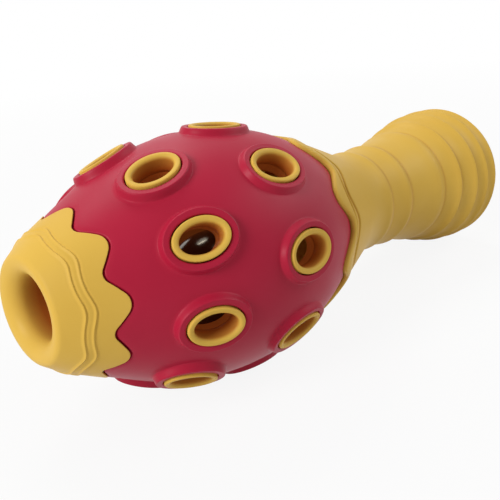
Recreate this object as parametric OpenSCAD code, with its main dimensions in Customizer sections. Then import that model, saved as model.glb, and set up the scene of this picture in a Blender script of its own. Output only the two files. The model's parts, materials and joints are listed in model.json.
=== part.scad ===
// Treat toy for a dog: a red rubber barrel shell over an amber liner, two rings of yellow
// oval eyelets, a yellow nose with a filling mouth, a yellow ribbed handle and a loose rattle ball.
// The pieces are drawn along the toy's own axis, from a plane just before the nose at z = 0, and
// then laid down at rest.

/* [Barrel] */
// Largest outer radius of the red shell
belly_r = 36.2; // [35:0.1:38]
// Place of the widest ring
belly_z = 61; // [60:0.5:63]
// Radius of the barrel's lengthwise curve
belly_arc_r = 77; // [72:1:84]
// Slope of the straight front part of the barrel, in degrees
front_slope = 27.5; // [26:0.5:29]
// Wall of the red shell
shell_wall = 3; // [2.8:0.1:3.6]
// Wall of the amber liner
liner_wall = 2.4; // [2:0.1:3]
// Place of the liner's front end
liner_front_z = 24; // [22:0.5:26]
// Place of the liner's rear end
liner_rear_z = 85; // [82:0.5:86]

/* [Eyelets] */
// Place of the front ring on the barrel's curve, degrees towards the nose
front_ring_angle = 20.2; // [19:0.2:21]
// Length of a front eyelet, along the toy
front_len = 15.4; // [15:0.1:17]
// Width of a front eyelet, around the toy
front_wid = 10.9; // [10.6:0.1:12]
// Height of a front eyelet's rim over the barrel
front_proud = 1.9; // [1.6:0.1:2.4]
// Place of the rear ring on the barrel's curve, degrees towards the nose
rear_ring_angle = -3.6; // [-5:0.2:-2]
// Length of a rear eyelet, along the toy
rear_len = 17.4; // [16:0.1:18]
// Width of a rear eyelet, around the toy
rear_wid = 12; // [11.4:0.1:12.6]
// Height of a rear eyelet's rim over the barrel
rear_proud = 1.3; // [1:0.1:1.8]
// Wall of an eyelet at its two ends
eyelet_end_wall = 1.9; // [1.6:0.1:2.4]
// Wall of an eyelet at its two sides
eyelet_side_wall = 1.8; // [1.5:0.1:2.2]
// Width of the flange that holds an eyelet under the shell
flange_w = 1.4; // [1:0.1:1.6]
// Depth of the flange's upper face under the barrel's surface
flange_depth = 1.9; // [1.7:0.1:2.1]
// Width of the red boss round an eyelet
boss_w = 2.3; // [2:0.1:2.6]
// Depth of the boss's top under the eyelet's rim
boss_drop = 0.4; // [0.2:0.1:0.8]
// Lean of the boss's wall from its foot to its top
boss_lean = 0.9; // [0.5:0.1:1.2]

/* [Nose] */
// Radius of the filling mouth
mouth_r = 8.4; // [7.5:0.1:9]
// Place of the lip's front
lip_z = 1.1; // [0.9:0.1:1.5]
// Rounding of the lip towards the outside
lip_out_round = 2.6; // [2:0.1:3]
// Place where the shoulder behind the lip meets the skirt
shoulder_z = 6.6; // [6.2:0.1:7]
// Slope of that shoulder, in degrees
shoulder_slope = 37; // [35:0.5:39]
// End of the mouth's straight wall
mouth_end_z = 14; // [12:0.5:16]
// Height of the skirt over the barrel's surface
skirt_proud = 0.3; // [0.1:0.1:0.5]
// Place of the skirt's tooth tips
nose_tip_z = 16.4; // [15.5:0.1:17.5]
// Place of the valleys between the skirt's teeth
nose_valley_z = 12.4; // [11.5:0.1:13]
// Rounding of the skirt's tooth tips
nose_tip_round = 3.7; // [3.2:0.1:4]
// Rounding of the valleys between the skirt's teeth
nose_valley_round = 2.8; // [2.4:0.1:3.2]

/* [Handle] */
// Place of the shell's rear tongues, where the handle's lip is narrowest
rear_tongue_z = 95.6; // [94.5:0.1:96.5]
// Place of the handle lip's forward lobes
rear_lobe_z = 88.4; // [87:0.1:89.5]
// Rounding of the shell's rear tongues
rear_tongue_round = 4.6; // [4:0.1:5]
// Rounding of the handle lip's forward lobes
rear_lobe_round = 4; // [3.5:0.1:4.4]
// Radius of the neck at its narrowest
neck_r = 18.4; // [17.5:0.1:19.5]
// Place of the neck's narrowest ring
neck_z = 131; // [129:0.5:133]
// Radius of the neck's hollow curve
neck_arc_r = 37; // [34:1:40]
// Slope of the cone between the lip and the neck, in degrees
neck_slope = 21; // [20:0.5:22]
// Radius of the grip at its far end
grip_r = 27.3; // [26:0.1:28.5]
// Place of the handle's flat end
toy_len = 200; // [198:0.5:206]
// Height of the grip's rounded bands
band_bulge = 0.9; // [0.6:0.1:1.2]
// Rounding of the grip's end
end_round = 3; // [2.5:0.1:3.5]
// Wall of the hollow handle
handle_wall = 6.5; // [5.5:0.1:7.5]

/* [Rattle ball] */
// Radius of the loose ball
ball_r = 17.6; // [16:0.1:18]
// Wall of the ball
ball_wall = 1.6; // [1.4:0.1:2]
// Depth of the ball's lap joint
lap_depth = 1.5; // [1.2:0.1:2]
// Radius of the pellet in the ball
pellet_r = 4; // [3:0.1:5]

/* [Clearances] */
// Bonding gap between pieces that are fixed together
bond_gap = 0.15; // [0.1:0.01:0.2]
// Open seam between the red and the yellow rubber
seam_gap = 0.4; // [0.3:0.05:0.5]
// Running gap round the loose ball and pellet
loose_gap = 0.35; // [0.3:0.05:0.5]

/* [Hidden] */
$fn = 96;
per_ring = 9;
ring_step = 360 / per_ring;
// Small reach past a face, for clean cuts
over = 1;
// Overlap of neighbouring teeth in a scalloped edge
tooth_lap = 0.5;
// Flats in each rounded part of a tooth
tooth_steps = 6;
// Start and length of the radial bars that cut a scalloped edge, as shares of its radius
bar_start = 0.6;
bar_share = 0.7;
far = 2 * toy_len;
red = [0.72, 0.16, 0.24];
yellow = [0.87, 0.70, 0.32];
amber = [0.71, 0.40, 0.16];
dark = [0.20, 0.10, 0.10];
steel = [0.72, 0.72, 0.74];

// The barrel's curve turns about this radius, on the far side of the axis
arc_axis_r = belly_r - belly_arc_r;
// Depths of the faces under the barrel's surface
liner_depth = shell_wall + bond_gap;
cavity_depth = liner_depth + liner_wall;
front_boss_h = front_proud - boss_drop;
rear_boss_h = rear_proud - boss_drop;

// Radius of the barrel's face at a depth under the surface, at place z
function cone_r(depth, z) =
    arc_axis_r + (belly_arc_r - depth) / cos(front_slope) + (z - belly_z) * tan(front_slope);
function arc_r(depth, z) =
    arc_axis_r + sqrt(pow(belly_arc_r - depth, 2) - pow(z - belly_z, 2));

// The nose's lip: its outer round touches the shoulder, its inner round runs into the mouth
shoulder_r = cone_r(-skirt_proud, shoulder_z);
lip_back = lip_out_round * (1 - sin(shoulder_slope)) + (shoulder_z - lip_z) * sin(shoulder_slope);
lip_axis_r = shoulder_r - lip_back / cos(shoulder_slope);
lip_in_round = lip_axis_r - mouth_r;

// The neck: a cone from the lip, then a hollow curve to the narrowest ring
neck_arc_z = neck_z - neck_arc_r * sin(neck_slope);
neck_arc_top_r = neck_r + neck_arc_r * (1 - cos(neck_slope));
function lip_r(z) = neck_arc_top_r + (neck_arc_z - z) * tan(neck_slope);

// The grip's grooves: share of the way from the neck to the end, and share of the growth in radius
groove_place = [0.053, 0.239, 0.538, 0.667, 0.803, 0.909, 1];
groove_growth = [0, 0.07, 0.40, 0.68, 0.94, 1, 0.97];
bands = len(groove_place) - 1;
band_height = [0.5, 0.6, 1, 1, 1, 1];
function groove(k) = [
    neck_r + (grip_r - neck_r) * groove_growth[k],
    neck_z + (toy_len - end_round - neck_z) * groove_place[k]
];

// A band is an arc through two grooves: its rise, half chord, radius and middle
function rise(k) = band_bulge * band_height[k];
function half_chord(k) = norm(groove(k + 1) - groove(k)) / 2;
function band_r(k) = (pow(half_chord(k), 2) + pow(rise(k), 2)) / (2 * rise(k));
function band_angle(k) = let (d = groove(k + 1) - groove(k)) atan2(d[1], d[0]);
function band_mid(k) =
    (groove(k) + groove(k + 1)) / 2
    - (band_r(k) - rise(k)) * [sin(band_angle(k)), -cos(band_angle(k))];
function band_points(k, steps) = [
    for (i = [0 : steps - 1])
        let (half = asin(half_chord(k) / band_r(k)))
        let (a = band_angle(k) - 90 - half + 2 * half * i / steps)
        band_mid(k) + band_r(k) * [cos(a), sin(a)]
];

// Lying at rest: the toy stands on two bosses of the rear ring and on the grip
foot_turn = ring_step / 2;
foot_len = rear_len / 2 + boss_w - boss_lean;
foot_wid = rear_wid / 2 + boss_w - boss_lean;
foot_arc = belly_arc_r + rear_boss_h;
foot_r = arc_axis_r + foot_arc * cos(rear_ring_angle);
foot_z = belly_z - foot_arc * sin(rear_ring_angle);
function foot_drop(t) =
    foot_r * cos(foot_turn) * cos(t) + foot_z * sin(t)
    + norm([
        foot_len * (sin(rear_ring_angle) * cos(foot_turn) * cos(t) + cos(rear_ring_angle) * sin(t)),
        foot_wid * sin(foot_turn) * cos(t)
    ]);
function grip_drop(t) =
    max([for (k = [0 : bands - 1]) band_mid(k)[0] * cos(t) + band_mid(k)[1] * sin(t) + band_r(k)]);
function settled(t, rounds) =
    rounds < 1 ? t
    : settled(t + (foot_drop(t) - grip_drop(t)) / (toy_len - foot_z) * 180 / PI, rounds - 1);
first_guess = 4;
tilt_rounds = 12;
rest_tilt = settled(first_guess, tilt_rounds);
rest_height = foot_drop(rest_tilt);
end_r = groove(bands)[0] - end_round;
nose_reach = (lip_z + lip_out_round) * cos(rest_tilt) - lip_axis_r * sin(rest_tilt) - lip_out_round;
end_reach = (toy_len - end_round) * cos(rest_tilt) + end_r * sin(rest_tilt) + end_round;
rest_x = -(nose_reach + end_reach) / 2;

// The ball lies in the lowest place of the hollow
ball_arc = belly_arc_r - cavity_depth - ball_r - loose_gap;
ball_axis_r = arc_axis_r + ball_arc * cos(rest_tilt);
ball_z = belly_z + ball_arc * sin(rest_tilt);
pellet_drop = ball_r - ball_wall - pellet_r - loose_gap;

// Lays the toy down at rest, nose towards -X
module at_rest() {
    translate([rest_x, 0, rest_height]) rotate([0, 90 + rest_tilt, 0]) children();
}

// Stands a piece on the barrel, at an angle along its curve and a turn from the top
module on_barrel(angle, turn) {
    rotate([0, 0, 180 - turn])
        translate([arc_axis_r, 0, belly_z])
            rotate([0, 90 + angle, 0])
                translate([0, 0, belly_arc_r]) children();
}

// Half outline of the barrel at a depth under its surface, between two places
module barrel_outline(depth, z0, z1) {
    arc = belly_arc_r - depth;
    join_z = belly_z - arc * sin(front_slope);
    intersection() {
        union() {
            intersection() {
                translate([arc_axis_r, belly_z]) circle(r = arc);
                translate([0, join_z]) square([far, far]);
            }
            polygon([[0, 0], [cone_r(depth, 0), 0], [cone_r(depth, join_z), join_z], [0, join_z]]);
        }
        translate([0, z0]) square([far, z1 - z0]);
    }
}

// Straight oval bar along the local Z
module oval_bar(len, wid, z0, z1) {
    translate([0, 0, z0]) linear_extrude(height = z1 - z0) scale([len / 2, wid / 2]) circle(r = 1);
}

// One tooth of a scalloped edge: a rounded tip between two rounded valleys, filled down to a base
module tooth(tip, valley, tip_round, valley_round, half_pitch, base) {
    tip_mid = tip - tip_round;
    valley_mid = valley + valley_round;
    slant = [half_pitch, valley_mid - tip_mid];
    face = atan2(slant[1], slant[0]) + acos((tip_round + valley_round) / norm(slant));
    flank = concat(
        [for (i = [0 : tooth_steps]) let (a = 90 + (face - 90) * i / tooth_steps)
            [0, tip_mid] + tip_round * [cos(a), sin(a)]],
        [for (i = [0 : tooth_steps]) let (a = face + (90 - face) * i / tooth_steps)
            [half_pitch, valley_mid] - valley_round * [cos(a), sin(a)]]
    );
    last = len(flank) - 1;
    polygon(concat(
        [[-half_pitch, base], [half_pitch, base]],
        [for (i = [last : -1 : 0]) flank[i]],
        [for (i = [1 : last]) [-flank[i][0], flank[i][1]]]
    ));
}

// A ring of such teeth as radial bars, with tips at the given turns
module teeth_ring(tip, valley, tip_round, valley_round, rim_r, base, turn) {
    half_pitch = rim_r * sin(ring_step / 2) + tooth_lap;
    for (k = [0 : per_ring - 1])
        rotate([0, 0, 180 - turn - k * ring_step])
            rotate([90, 0, 90])
                translate([0, 0, rim_r * bar_start])
                    linear_extrude(height = rim_r * bar_share)
                        tooth(tip, valley, tip_round, valley_round, half_pitch, base);
}

// Everything on the nose side of the front seam, and everything behind it
module before_nose_seam(grow) {
    teeth_ring(nose_tip_z + grow, nose_valley_z + grow, nose_tip_round + grow,
        nose_valley_round - grow, cone_r(0, nose_valley_z), 0, 0);
}
module behind_nose_seam(grow) {
    mirror([0, 0, 1])
        teeth_ring(grow - nose_valley_z, grow - nose_tip_z, nose_valley_round + grow,
            nose_tip_round - grow, cone_r(-skirt_proud, nose_tip_z + over), -nose_tip_z - 4 * over,
            ring_step / 2);
}

// Everything on the barrel side of the rear seam, and everything behind it
module before_rear_seam(grow) {
    teeth_ring(rear_tongue_z + grow, rear_lobe_z + grow, rear_tongue_round + grow,
        rear_lobe_round - grow, lip_r(rear_lobe_z - over), liner_rear_z, 0);
}
module behind_rear_seam(grow) {
    mirror([0, 0, 1])
        teeth_ring(grow - rear_lobe_z, grow - rear_tongue_z, rear_lobe_round + grow,
            rear_tongue_round - grow, arc_r(0, rear_tongue_z), -rear_tongue_z - 4 * over,
            ring_step / 2);
}

// A tapered oval pad of the shell round one eyelet
module boss(len, wid, h) {
    foot = -shell_wall / 2;
    top = len / 2 + boss_w - boss_lean;
    scale([1, (wid / 2 + boss_w) / (len / 2 + boss_w), 1])
        translate([0, 0, foot])
            cylinder(r1 = len / 2 + boss_w, r2 = top, h = h - foot);
}

// The hole through a boss, with the recess for the eyelet's flange under it
module eyelet_seat(len, wid) {
    oval_bar(len + seam_gap, wid + seam_gap, -2 * cavity_depth, cavity_depth);
    oval_bar(len + 2 * flange_w + seam_gap, wid + 2 * flange_w + seam_gap,
        -2 * cavity_depth, bond_gap - flange_depth);
}

module eyelet_bore(len, wid) {
    oval_bar(len - 2 * eyelet_end_wall, wid - 2 * eyelet_side_wall, -2 * cavity_depth, cavity_depth);
}

module front_places() {
    for (k = [0 : per_ring - 1]) on_barrel(front_ring_angle, (k + 0.5) * ring_step) children();
}
module rear_places() {
    for (k = [0 : per_ring - 1]) on_barrel(rear_ring_angle, k * ring_step) children();
}

module outer_shell() {
    color(red) at_rest() difference() {
        union() {
            difference() {
                rotate_extrude() difference() {
                    barrel_outline(0, nose_valley_z, rear_tongue_z + over);
                    barrel_outline(shell_wall, 0, far);
                }
                before_nose_seam(seam_gap / 2);
                behind_rear_seam(seam_gap / 2);
            }
            front_places() boss(front_len, front_wid, front_boss_h);
            rear_places() boss(rear_len, rear_wid, rear_boss_h);
        }
        front_places() eyelet_seat(front_len, front_wid);
        rear_places() eyelet_seat(rear_len, rear_wid);
    }
}

module inner_liner() {
    color(amber) at_rest() difference() {
        rotate_extrude() difference() {
            barrel_outline(liner_depth, liner_front_z, liner_rear_z);
            barrel_outline(cavity_depth, 0, far);
        }
        front_places() eyelet_bore(front_len, front_wid);
        rear_places() eyelet_bore(rear_len, rear_wid);
    }
}

// A flanged oval tube, its foot cut to the liner's face
module eyelet(angle, turn, len, wid, proud) {
    color(yellow) at_rest() difference() {
        on_barrel(angle, turn) difference() {
            union() {
                oval_bar(len, wid, -cavity_depth, proud);
                oval_bar(len + 2 * flange_w, wid + 2 * flange_w, -cavity_depth, -flange_depth);
            }
            eyelet_bore(len, wid);
        }
        rotate_extrude() barrel_outline(liner_depth - bond_gap / 2, over, toy_len / 2);
    }
}
module front_eyelet(n) {
    eyelet(front_ring_angle, (n - 0.5) * ring_step, front_len, front_wid, front_proud);
}
module rear_eyelet(n) {
    eyelet(rear_ring_angle, (n - 1) * ring_step, rear_len, rear_wid, rear_proud);
}

module nose_cap() {
    spigot_end = liner_front_z - bond_gap;
    color(yellow) at_rest() union() {
        rotate_extrude() difference() {
            union() {
                translate([lip_axis_r, lip_z + lip_out_round]) circle(r = lip_out_round);
                intersection() {
                    translate([lip_axis_r, lip_z + lip_in_round]) circle(r = lip_in_round);
                    square([lip_axis_r, lip_z + lip_in_round]);
                }
                polygon([
                    [lip_axis_r - lip_in_round / 2, lip_z + lip_out_round],
                    [lip_axis_r + lip_out_round * cos(shoulder_slope),
                        lip_z + lip_out_round * (1 - sin(shoulder_slope))],
                    [shoulder_r, shoulder_z], [shoulder_r, shoulder_z + over],
                    [mouth_r, shoulder_z + over], [mouth_r, lip_z + lip_in_round]
                ]);
                barrel_outline(-skirt_proud, shoulder_z, nose_valley_z - over);
                barrel_outline(liner_depth, shoulder_z, spigot_end);
            }
            square([mouth_r, far]);
            polygon([
                [0, mouth_end_z], [mouth_r, mouth_end_z],
                [cone_r(cavity_depth, spigot_end), spigot_end], [far, far], [0, far]
            ]);
        }
        difference() {
            rotate_extrude() difference() {
                barrel_outline(-skirt_proud, nose_valley_z - 2 * over, nose_tip_z + over);
                barrel_outline(liner_depth + over / 2, 0, far);
            }
            behind_nose_seam(seam_gap / 2);
        }
    }
}

module handle_grip() {
    spigot_start = liner_rear_z + bond_gap;
    lip_end_z = rear_tongue_z + over;
    arc_steps = 10;
    band_steps = 8;
    end_z = toy_len - end_round;
    outline = concat(
        [[0, lip_end_z], [lip_r(lip_end_z), lip_end_z]],
        [for (i = [0 : arc_steps])
            let (a = neck_slope * (1 - i / arc_steps))
            [neck_r + neck_arc_r * (1 - cos(a)), neck_z - neck_arc_r * sin(a)]],
        [for (k = [0 : bands - 1]) each band_points(k, band_steps)],
        [for (i = [0 : arc_steps])
            let (a = 90 * i / arc_steps)
            [end_r + end_round * cos(a), end_z + end_round * sin(a)]],
        [[0, toy_len]]
    );
    hollow_r = neck_r - handle_wall;
    hollow_end_z = toy_len - handle_wall;
    color(yellow) at_rest() union() {
        rotate_extrude() difference() {
            union() {
                polygon(outline);
                barrel_outline(liner_depth, spigot_start, lip_end_z + over);
            }
            polygon([
                [0, 0], [arc_r(cavity_depth, spigot_start), 0],
                [arc_r(cavity_depth, spigot_start), spigot_start],
                [lip_r(lip_end_z) - handle_wall, lip_end_z],
                [hollow_r, neck_z - neck_arc_r / 4], [hollow_r, groove(1)[1]],
                [grip_r - handle_wall, groove(4)[1]], [grip_r - handle_wall, hollow_end_z],
                [0, hollow_end_z]
            ]);
        }
        difference() {
            rotate_extrude() difference() {
                polygon([
                    [0, rear_lobe_z - over], [lip_r(rear_lobe_z - over), rear_lobe_z - over],
                    [lip_r(lip_end_z + over), lip_end_z + over], [0, lip_end_z + over]
                ]);
                barrel_outline(liner_depth + over / 2, 0, far);
            }
            before_rear_seam(seam_gap / 2);
        }
    }
}

// One half of the ball, with the tongue or the groove of its lap joint
module ball_half(side) {
    lap_r = ball_r - ball_wall / 2;
    color(dark) at_rest() translate([ball_axis_r, 0, ball_z]) rotate_extrude() {
        if (side > 0) {
            difference() {
                circle(r = ball_r);
                circle(r = ball_r - ball_wall);
                translate([-far, -far]) square([far, 2 * far]);
                translate([0, -far]) square([far, far]);
                square([lap_r + bond_gap / 2, lap_depth + bond_gap]);
            }
        } else {
            difference() {
                union() {
                    intersection() {
                        circle(r = ball_r);
                        translate([0, -far - bond_gap]) square([far, far]);
                    }
                    translate([0, -over]) square([lap_r - bond_gap / 2, lap_depth + over]);
                }
                circle(r = ball_r - ball_wall);
                translate([-far, -far]) square([far, 2 * far]);
            }
        }
    }
}
module ball_front_half() { ball_half(-1); }
module ball_rear_half() { ball_half(1); }

module rattle_pellet() {
    color(steel) at_rest() translate([ball_axis_r + pellet_drop, 0, ball_z]) sphere(r = pellet_r);
}

outer_shell();
inner_liner();
nose_cap();
handle_grip();
for (n = [1 : per_ring]) front_eyelet(n);
for (n = [1 : per_ring]) rear_eyelet(n);
ball_front_half();
ball_rear_half();
rattle_pellet();
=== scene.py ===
# %% [markdown]
# # A rubber treat toy
# A red rubber barrel with two rings of yellow oval eyelets, a yellow nose with a round
# mouth, and a yellow ribbed handle. A dark ball rattles inside. Every piece is moulded,
# so every piece here is a smooth surface worked out from a few sizes in millimetres.
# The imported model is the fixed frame: the new surfaces stand where its nodes are.

# %% Load the fixed frame
import json

import bmesh
import bpy
import numpy as np
from mathutils import Matrix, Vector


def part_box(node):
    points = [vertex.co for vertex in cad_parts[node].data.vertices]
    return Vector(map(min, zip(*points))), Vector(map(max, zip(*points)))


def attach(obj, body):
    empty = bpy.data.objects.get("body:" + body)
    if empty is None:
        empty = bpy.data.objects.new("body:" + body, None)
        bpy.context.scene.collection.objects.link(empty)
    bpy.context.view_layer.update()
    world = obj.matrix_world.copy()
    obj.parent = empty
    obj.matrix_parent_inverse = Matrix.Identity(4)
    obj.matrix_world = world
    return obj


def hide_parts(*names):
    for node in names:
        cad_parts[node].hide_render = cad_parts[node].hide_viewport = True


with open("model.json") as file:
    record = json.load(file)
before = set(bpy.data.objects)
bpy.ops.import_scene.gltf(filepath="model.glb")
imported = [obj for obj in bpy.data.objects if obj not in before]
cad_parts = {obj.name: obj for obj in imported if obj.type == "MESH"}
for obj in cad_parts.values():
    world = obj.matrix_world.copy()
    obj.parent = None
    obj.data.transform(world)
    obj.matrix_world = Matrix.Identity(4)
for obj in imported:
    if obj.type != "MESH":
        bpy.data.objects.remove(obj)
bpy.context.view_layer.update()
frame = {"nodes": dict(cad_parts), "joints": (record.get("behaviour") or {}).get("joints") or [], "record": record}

# %% [markdown]
# ## The toy's own axis
# The toy lies a little nose-up on two bosses and the end of its grip, so its axis is not
# level. The record's flat end face gives a point on that axis and its direction. Three
# unit vectors then turn (place along the axis, turn from the top, radius) into the frame,
# which keeps every later shape as simple as a profile on a lathe.

# %% Axis, turn and radius to the frame
MM = 0.001
TOY_LENGTH = 200.0
STEP = 40.0                                  # degrees between eyelets in a ring
NUMBERS = range(1, 10)                       # the eyelets of a ring

mounts = {mount["name"]: mount for mount in frame["record"]["mounts"]}
ALONG = np.array(mounts["grip_end"]["axis"])
SIDE = np.array([0.0, 1.0, 0.0])
UP = np.cross(ALONG, SIDE)
NOSE = np.array(mounts["grip_end"]["pos_m"]) - TOY_LENGTH * MM * ALONG


def place(z, turn, r):
    """Row-frame points: z mm along the axis from the nose, then r mm out at a turn from the top."""
    z, turn, r = np.broadcast_arrays(z, np.radians(turn), r)
    outward = np.cos(turn)[..., None] * UP + np.sin(turn)[..., None] * SIDE
    return NOSE + MM * (z[..., None] * ALONG + r[..., None] * outward)


def toy_coordinates(points, near_turn):
    """(z, r, turn) of row-frame points, the reverse of place(), with the turn near a given one."""
    rel = (points - NOSE) / MM
    up, side = rel @ UP, rel @ SIDE
    turn = np.degrees(np.arctan2(side, up))
    return rel @ ALONG, np.hypot(up, side), near_turn + (turn - near_turn + 180.0) % 360.0 - 180.0


tilt = float(np.degrees(np.arcsin(-ALONG[2])))
print("nose front at", np.round(NOSE, 4), "tilt", round(tilt, 2), "degrees")

# %% [markdown]
# ## Grids into meshes
# A surface is a grid of points, rows by columns. Its faces join each point to the next in
# its row and column, and a grid that closes on itself wraps round. Several grids can make
# one piece: their shared edges are welded, so that the piece is closed.

# %% From grids to pieces
WELD = 0.00001                               # points closer than this, in metres, are one


def grid_faces(rows, columns, wrap_rows=False, wrap_columns=False, first=0):
    """Quads of a rows x columns grid whose points are numbered row by row from first."""
    a = np.arange(rows if wrap_rows else rows - 1)[:, None]
    b = np.arange(columns if wrap_columns else columns - 1)[None, :]
    a2, b2 = (a + 1) % rows, (b + 1) % columns
    corners = [a * columns + b, a * columns + b2, a2 * columns + b2, a2 * columns + b]
    return np.stack(corners, axis=-1).reshape(-1, 4) + first


def add_piece(name, grids, body, nodes, material, inside=None):
    """One closed piece from grids, each (points, wrap rows, wrap columns).

    It rides on a body and stands for nodes. inside gives each point of a single grid a share of
    painted shade, from 0 outside to 1 far down a hole.
    """
    points, faces, count = [], [], 0
    for grid, wrap_rows, wrap_columns in grids:
        rows, columns = grid.shape[:2]
        points.append(grid.reshape(-1, 3))
        faces.append(grid_faces(rows, columns, wrap_rows, wrap_columns, count))
        count += rows * columns
    mesh = bpy.data.meshes.new(name)
    mesh.from_pydata(np.concatenate(points).tolist(), [], np.concatenate(faces).tolist())
    if inside is not None:
        shares = mesh.attributes.new("inside", "FLOAT", "POINT")
        shares.data.foreach_set("value", inside.ravel().astype(np.float32))
    work = bmesh.new()
    work.from_mesh(mesh)
    bmesh.ops.remove_doubles(work, verts=work.verts, dist=WELD)
    bmesh.ops.dissolve_degenerate(work, edges=work.edges, dist=WELD / 10)
    bmesh.ops.recalc_face_normals(work, faces=work.faces)
    open_edges = sum(1 for edge in work.edges if len(edge.link_faces) != 2)
    work.to_mesh(mesh)
    work.free()
    mesh.polygons.foreach_set("use_smooth", np.ones(len(mesh.polygons), dtype=bool))
    mesh.materials.append(material)
    piece = bpy.data.objects.new(name, mesh)
    bpy.context.collection.objects.link(piece)
    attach(piece, body)
    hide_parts(*nodes)
    print(name, len(mesh.polygons), "faces,", open_edges, "open edges")


def smooth_step(x, start, end):
    """0 before start, 1 after end, and an S-curve 3t^2 - 2t^3 between them."""
    t = np.clip((x - start) / (end - start), 0.0, 1.0)
    return t * t * (3.0 - 2.0 * t)


print("grid tools ready")

# %% [markdown]
# ## Rubber and plastic
# The red and yellow rubbers and the liner's are all moulded: a satin skin, lightly grained by the mould,
# with a soft broad sheen and hardly any colour change. A Principled shader with a middling
# roughness and a low specular level gives the sheen. A fine noise bump is the mould's grain,
# and a slow noise on the roughness is handling. The real grain is near 0.1 mm, too fine for
# the picture, so it is drawn a few times coarser. In the holes and grooves of the yellow rubber
# a mesh attribute turns the colour to a darker amber: painted shade, for light that bounces
# there many times. The liner is that darker amber all over, painted shade of the dim hollow.
# A weak emission on the liner and in the yellow holes is painted light, for light soaking in.

# %% Material tools
def linear(hex_code):
    """An sRGB hex value as linear RGBA."""
    srgb = np.array([int(hex_code[i:i + 2], 16) for i in (1, 3, 5)]) / 255.0
    low, high = srgb / 12.92, ((srgb + 0.055) / 1.055) ** 2.4
    return [*np.where(srgb <= 0.04045, low, high).tolist(), 1.0]


def node(tree, kind, settings=None, inputs=None):
    """Adds one shader node, sets its properties, and sets or links its inputs."""
    made = tree.nodes.new(kind)
    for key, value in (settings or {}).items():
        setattr(made, key, value)
    for key, value in (inputs or {}).items():
        if isinstance(value, bpy.types.NodeSocket):
            tree.links.new(value, made.inputs[key])
        else:
            made.inputs[key].default_value = value
    return made


def per_metre(size_mm):
    """Noise scale, in cells per metre, for features of a size in millimetres."""
    return 1.0 / (size_mm * MM)


def new_material(name):
    """An empty node material, its tree and its output."""
    made = bpy.data.materials.new(name)
    made.use_nodes = True
    made.node_tree.nodes.clear()
    return made, made.node_tree, node(made.node_tree, "ShaderNodeOutputMaterial")


print("material tools ready")

# %% Moulded rubber, red, yellow and amber
DRIFT_MM = 22.0                              # size of the slow patches in colour and gloss
GRAIN_MM, GRAIN_DEPTH_MM = 0.6, 0.05         # size and depth of the mould's grain


def moulded_rubber(name, base, worn, deep, roughness, shine, glow=0.0, hole_glow=0.0):
    """Satin moulded rubber: base drifts a little to worn, holes turn to the painted shade colour, the skin is
    grained.

    glow is painted light, the same all over, and hole_glow is painted light that grows with the
    attribute's share of painted shade inside a hole.
    """
    made, tree, out = new_material(name)
    where = node(tree, "ShaderNodeTexCoord").outputs["Object"]
    drift = node(tree, "ShaderNodeTexNoise", inputs={
        "Vector": where, "Scale": per_metre(DRIFT_MM), "Detail": 3.0, "Roughness": 0.55})
    skin_colour = node(tree, "ShaderNodeMix", {"data_type": "RGBA"}, {
        0: drift.outputs["Fac"], 6: linear(base), 7: linear(worn)})
    inside = node(tree, "ShaderNodeAttribute", {"attribute_name": "inside"})
    colour = node(tree, "ShaderNodeMix", {"data_type": "RGBA"}, {
        0: inside.outputs["Fac"], 6: skin_colour.outputs[2], 7: linear(deep)})
    handling = node(tree, "ShaderNodeMapRange", inputs={
        "Value": drift.outputs["Fac"], "From Min": 0.3, "From Max": 0.7,
        "To Min": roughness - 0.04, "To Max": roughness + 0.05})
    grain = node(tree, "ShaderNodeTexNoise", inputs={
        "Vector": where, "Scale": per_metre(GRAIN_MM), "Detail": 2.0})
    bump = node(tree, "ShaderNodeBump", inputs={
        "Height": grain.outputs["Fac"], "Strength": 0.3, "Distance": GRAIN_DEPTH_MM * MM})
    # Painted light: an emission in the holes that grows with the share of painted shade.
    if hole_glow:
        soaked = node(tree, "ShaderNodeMath", {"operation": "MULTIPLY"}, {
            0: inside.outputs["Fac"], 1: hole_glow})
        glow = soaked.outputs["Value"]
    skin = node(tree, "ShaderNodeBsdfPrincipled", inputs={
        "Base Color": colour.outputs[2], "Roughness": handling.outputs["Result"],
        "Normal": bump.outputs["Normal"], "IOR": 1.5, "Specular IOR Level": shine,
        "Emission Color": linear(deep), "Emission Strength": glow})
    tree.links.new(skin.outputs["BSDF"], out.inputs["Surface"])
    return made


red_rubber = moulded_rubber(
    "moulded_red_rubber", "#b21d3b", "#a91934", "#8c1526", roughness=0.42, shine=0.17)
# The yellow's third colour is the darker amber of painted shade in holes and grooves, and hole_glow paints light
# there.
yellow_rubber = moulded_rubber(
    "moulded_yellow_rubber", "#dfb753", "#d6ab47", "#a2521c",
    roughness=0.44, shine=0.1, hole_glow=0.1)
# The liner's darker amber is painted shade of the dim hollow, and its glow is painted light.
liner_painted_shade_glow = moulded_rubber(
    "liner_painted_shade_and_glow", "#ab5a24", "#a0521f", "#ab5a24", roughness=0.5, shine=0.1, glow=0.13)
print("made", red_rubber.name, yellow_rubber.name, "and", liner_painted_shade_glow.name)
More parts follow.
